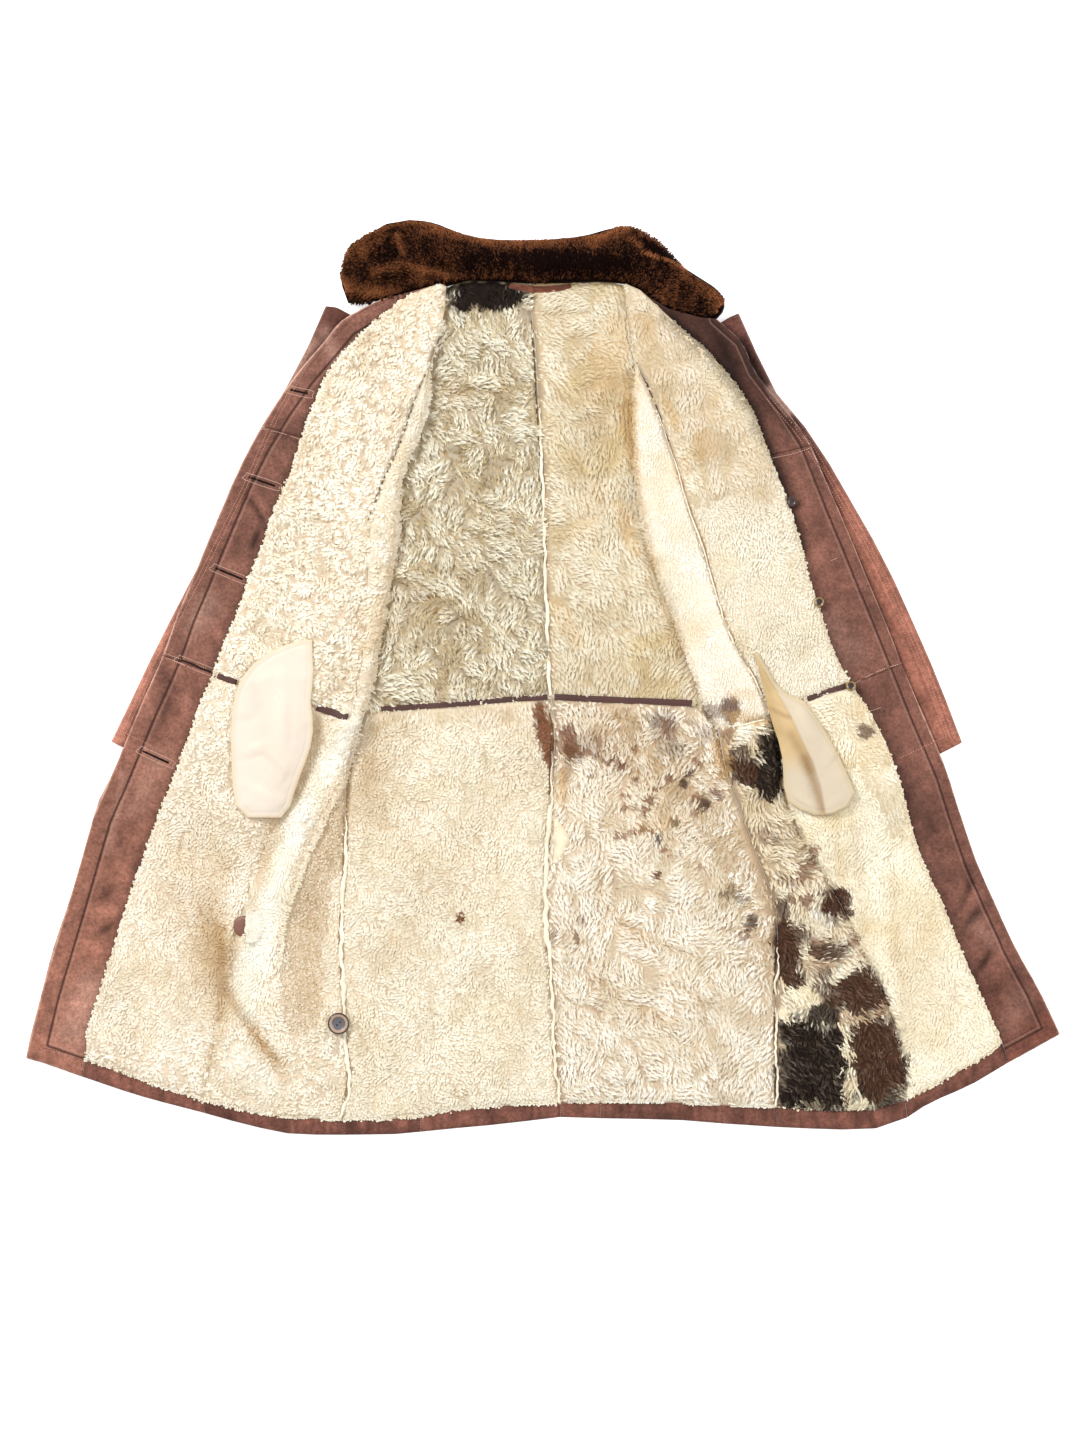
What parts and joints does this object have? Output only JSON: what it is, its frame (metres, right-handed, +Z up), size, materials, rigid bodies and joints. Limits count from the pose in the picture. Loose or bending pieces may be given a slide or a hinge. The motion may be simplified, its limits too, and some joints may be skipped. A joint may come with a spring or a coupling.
{
  "type": "shearling coat",
  "caption": "Knee-length shearling coat lying open on its back, wool lining up, suede facings and sleeves, dark fur collar, loose cotton pocket bags.",
  "frame": {"origin": "middle of the coat's bounding box, on the surface that it lies on", "axes": "+X across the coat, towards the right of the view from above; +Y from the hem to the collar; +Z up from the surface, out of the wool side"},
  "size_m": [1.1887, 1.0516, 0.0357],
  "materials": {
    "wool_cream": "dense curled wool pile on sheepskin leather",
    "wool_grey": "long wavy grey-beige wool pile on sheepskin leather",
    "wool_patched": "cream wool with dark brown patches on sheepskin leather",
    "suede": "mauve-brown suede, napped",
    "suede_sleeve": "red-brown suede, napped",
    "collar_fur": "dense short dark brown fur with copper tips",
    "cotton": "thin plain-woven cotton, pressed",
    "tape": "ribbed dark brown seam tape",
    "button_horn": "polished dark brown, grey dished middle",
    "button_brass": "small aged stay button"
  },
  "bodies": {
    "root": {"back_bodice_left": "wool_grey", "back_bodice_right": "wool_cream", "back_skirt_left": "wool_cream", "back_skirt_right": "wool_cream", "side_bodice_left": "wool_cream", "side_bodice_right": "wool_cream", "front_bodice_left": "wool_cream", "front_bodice_right": "wool_cream", "side_skirt_left": "wool_cream", "side_skirt_right": "wool_patched", "front_skirt_left": "wool_cream", "front_skirt_right": "wool_cream", "facing_top_left": "suede", "facing_middle_left": "suede", "facing_bottom_left": "suede", "facing_top_right": "suede", "facing_middle_right": "suede", "facing_bottom_right": "suede", "hem_band_1": "suede", "hem_band_2": "suede", "hem_band_3": "suede", "hem_band_4": "suede", "hem_band_5": "suede", "hem_band_6": "suede", "hem_band_7": "suede", "hem_band_8": "suede", "hem_band_9": "suede", "sleeve_left": "suede_sleeve", "sleeve_right": "suede_sleeve", "collar": "collar_fur", "neck_strip": "suede", "waist_tape_back_left": "tape", "waist_tape_back_right": "tape", "waist_tape_side_left": "tape", "waist_tape_front_left": "tape", "waist_tape_front_right": "tape", "pocket_bag_left": "cotton", "pocket_bag_right": "cotton", "hem_button": "button_horn", "wool_button": "button_horn", "coat_button_1": "button_horn", "coat_button_2": "button_horn", "coat_button_3": "button_horn", "coat_button_4": "button_horn", "coat_button_5": "button_horn", "stay_button_2": "button_horn", "stay_button_3": "button_brass", "stay_button_4": "button_brass"}
  },
  "joints": []
}
